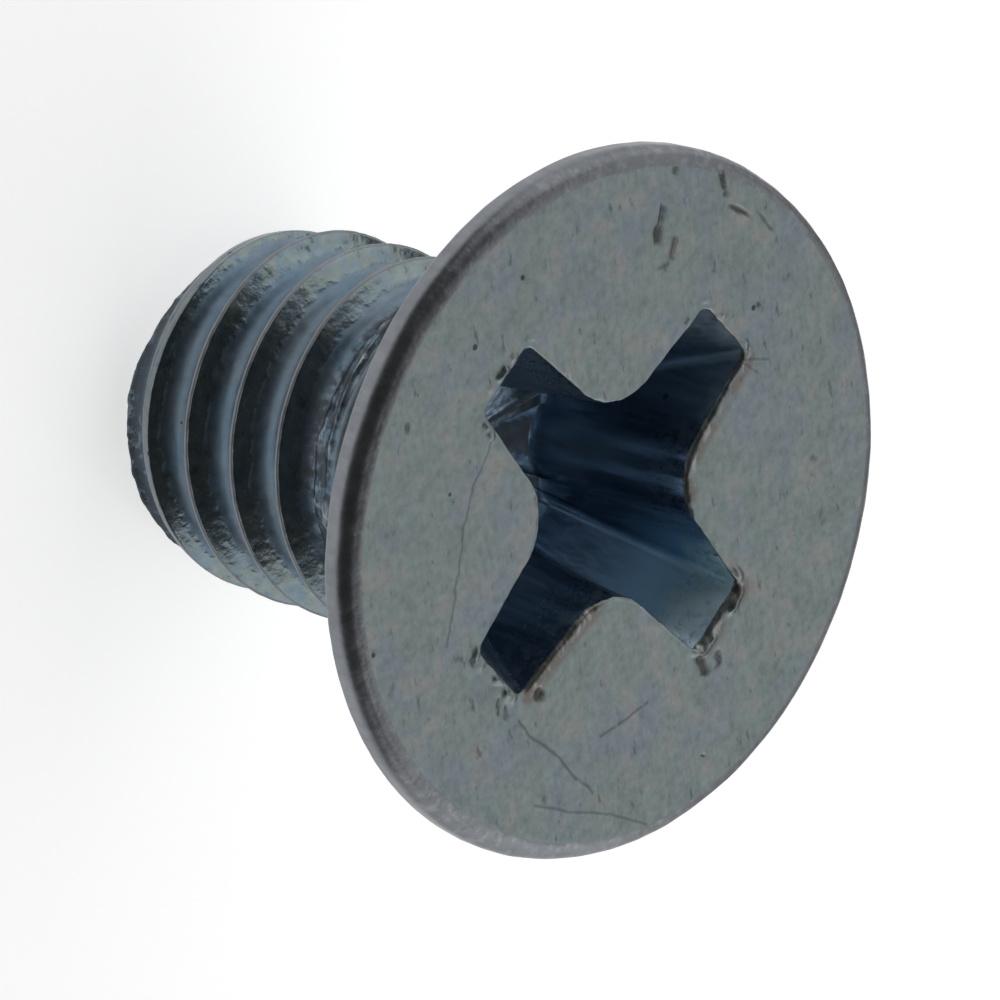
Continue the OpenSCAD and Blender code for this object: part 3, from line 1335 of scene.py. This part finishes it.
@dataclass(frozen=True)
class RecessZinc:
    """Smooth blue zinc in the recess, with the punch's drawing lines and painted highlights on the upper
    wall of the +Y wing.
    """

    roughness: float = 0.26

    def build(self) -> bpy.types.Material:
        """Makes the material."""
        s = Surface("recess_zinc")
        drawn = s.grain(1.0, 1.0, 1.0, s.stretched((9.0, 9.0, 0.45)))
        mottle = s.grain(7.0, 2.0, 3.0)
        cloud = s.grain(1.1, 3.0, 1.0)
        pit = s.pits(4.0, 0.16, 0.25)
        colour = s.tint(Colour.DRAWN_BLUE, Colour.DEEP_BLUE, s.z.rise(-0.3, -1.6))
        colour = s.shade(colour, 1.0 + 0.9 * (drawn - 0.5) + 0.4 * (cloud - 0.5))
        near_mouth = s.z.rise(-0.75, -0.1) * mottle.rise(0.42, 0.6)
        # Painted highlight: a pale, mottled patch on the +Y wing's wall just below the mouth, which is also
        # made rougher and more uneven.
        painted_highlight = s.y.rise(1.35, 1.75) * s.z.rise(-0.66, -0.40) * mottle.rise(0.30, 0.50)
        # Painted highlight: brighter blue on the +Y wing's wall. It fades in from 1.45 mm deep and is full
        # from 0.75 mm deep up to the mouth.
        colour = s.tint(colour, Colour.BRIGHT_BLUE, s.y.rise(1.15, 1.55) * s.z.rise(-1.45, -0.75))
        colour = s.tint(colour, Colour.PALE_ZINC, 0.25 * near_mouth)
        # Lays on the pale colour of the painted highlight.
        colour = s.tint(colour, Colour.PAINTED_HIGHLIGHT_ZINC, painted_highlight)
        colour = s.tint(colour, Colour.GRIME_AND_SHADE, 0.8 * pit * s.z.rise(-1.1, -0.5))
        wing_ends = s.y.rise(1.20, 1.60).at_least(1.6 * s.x.rise(-1.2, -1.7))
        roughness = self.roughness + 0.3 * near_mouth * (mottle - 0.3) + 0.12 * wing_ends + 0.14 * painted_highlight
        return s.finish(colour, roughness, 0.0075 * drawn + 0.006 * painted_highlight * mottle)


@dataclass(frozen=True)
class ThreadZinc:
    """Glossy zinc on the rolled thread: blue in the roots, rough on the flanks, worn on the crests, with
    painted shade where the neck runs out into the thread.
    """

    root_roughness: float = 0.40
    flank_roughness: float = 0.24

    def build(self) -> bpy.types.Material:
        """Makes the material."""
        s = Surface("thread_zinc")
        ridge = s.stored("ridge_height")
        crest = ridge.rise(0.94, 0.985)
        flank = (ridge + 0.35 * (s.grain(6.0, 8.0, 2.0) - 0.5)).rise(0.48, 0.62) * (1.0 - crest)
        rolled = s.grain(1.6, 1.0, 2.0, s.stretched((1.0, 1.0, 9.0)))
        mottle = s.grain(7.0, 2.0, 3.0)
        blotch = s.grain(4.5, 3.0, 2.0)
        cloud = s.grain(1.3, 4.0, 1.0)
        pit = s.pits(2.6, 0.11, 0.24)
        torn = s.stored("torn")
        colour = s.tint(Colour.STEEL_BLUE, Colour.BLUE_GREY, 0.5 * cloud.rise(0.42, 0.64))
        colour = s.tint(colour, Colour.GREEN_GREY, flank * (0.35 + 0.65 * blotch.rise(0.42, 0.60)))
        colour = s.tint(colour, Colour.BRASSY, 0.42 * crest)
        colour = s.tint(colour, Colour.PALE_ZINC, 0.6 * torn)
        colour = s.shade(colour, 1.0 + 0.7 * (mottle - 0.5) + 0.5 * (rolled - 0.5))
        tip = s.z.rise(-5.32, -5.48) * mottle.rise(0.36, 0.50)
        # Painted shade: mottled darkening where the neck runs out into the thread. It is full from 2.44 to
        # 2.74 mm below the face and is left off where the metal is torn.
        run_out_shade = s.z.rise(-2.88, -2.74) * s.z.rise(-2.34, -2.44) * (1.0 - torn) * mottle.rise(0.60, 0.42)
        # Darkened: the pits, mottled patches on the flanks and near the tip, and the painted shade where
        # the thread starts under the neck.
        darkened = (0.85 * pit).at_least(0.5 * flank * mottle.rise(0.40, 0.28))
        darkened = darkened.at_least(0.60 * tip).at_least(0.6 * run_out_shade)
        colour = s.tint(colour, Colour.GRIME_AND_SHADE, darkened)
        roughness = self.root_roughness + (self.flank_roughness - self.root_roughness) * flank
        roughness = roughness + 0.2 * (mottle - 0.5) + 0.12 * crest + 0.25 * darkened
        relief = (0.007 * blotch + 0.005 * mottle) * (0.25 + flank + 2.0 * torn + tip)
        return s.finish(colour, roughness, relief)


@dataclass(frozen=True)
class CoreZinc:
    """Zinc on the sheared end of the shank."""

    roughness: float = 0.34

    def build(self) -> bpy.types.Material:
        """Makes the material."""
        s = Surface("core_zinc")
        mottle = s.grain(6.0, 2.0, 3.0)
        torn = s.grain(1.0, 5.0, 3.0, s.stretched((10.0, 1.6, 3.0), 20.0))
        pit = s.pits(3.0, 0.11, 0.24)
        colour = s.tint(Colour.BLUE_GREY, Colour.GREEN_GREY, s.grain(1.3, 4.0).rise(0.42, 0.6))
        colour = s.shade(colour, 1.0 + 0.5 * (mottle - 0.5) + 0.6 * (torn - 0.5))
        colour = s.tint(colour, Colour.GRIME_AND_SHADE, 0.8 * pit)
        relief = 0.012 * torn + 0.003 * mottle - 0.008 * pit
        return s.finish(colour, self.roughness + 0.2 * (mottle - 0.5) + 0.2 * pit, relief)


@dataclass
class CountersunkScrew:
    """The whole screw: head, thread and core, which are regions of one forging."""

    head: ScrewHead = field(default_factory=ScrewHead)
    thread: RolledThread = field(default_factory=RolledThread)
    core: ShankCore = field(default_factory=ShankCore)

    def build(self) -> None:
        """Makes the three regions, dresses them and ties each to its node."""
        finishes = {
            Zone.RECESS: RecessZinc().build(), Zone.FACE: FaceZinc().build(), Zone.SIDE: RimZinc().build(),
        }
        self._tie(self.head.build(finishes), "head", "head_zinc")
        self._tie(self.thread.build(ThreadZinc().build()), "thread", "thread_zinc")
        self._tie(self.core.build(CoreZinc().build()), "shank", "shank_zinc")

    @staticmethod
    def _tie(piece: bpy.types.Object, node: str, slot: str) -> None:
        """Puts a piece in a node's place and reports it.

        Args:
            piece: The piece.
            node: The CAD node that it replaces.
            slot: Not used.
        """
        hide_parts(node)
        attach(piece, "root")
        LOG.info("%s stands for %s: %d faces", piece.name, node, len(piece.data.polygons))


def main() -> None:
    """Builds the camera, the screw and the studio."""
    logging.basicConfig(level=logging.INFO, format="%(name)s: %(message)s")
    PortraitCamera().build()
    CountersunkScrew().build()
    Studio().build()


if __name__ == "__main__":
    main()
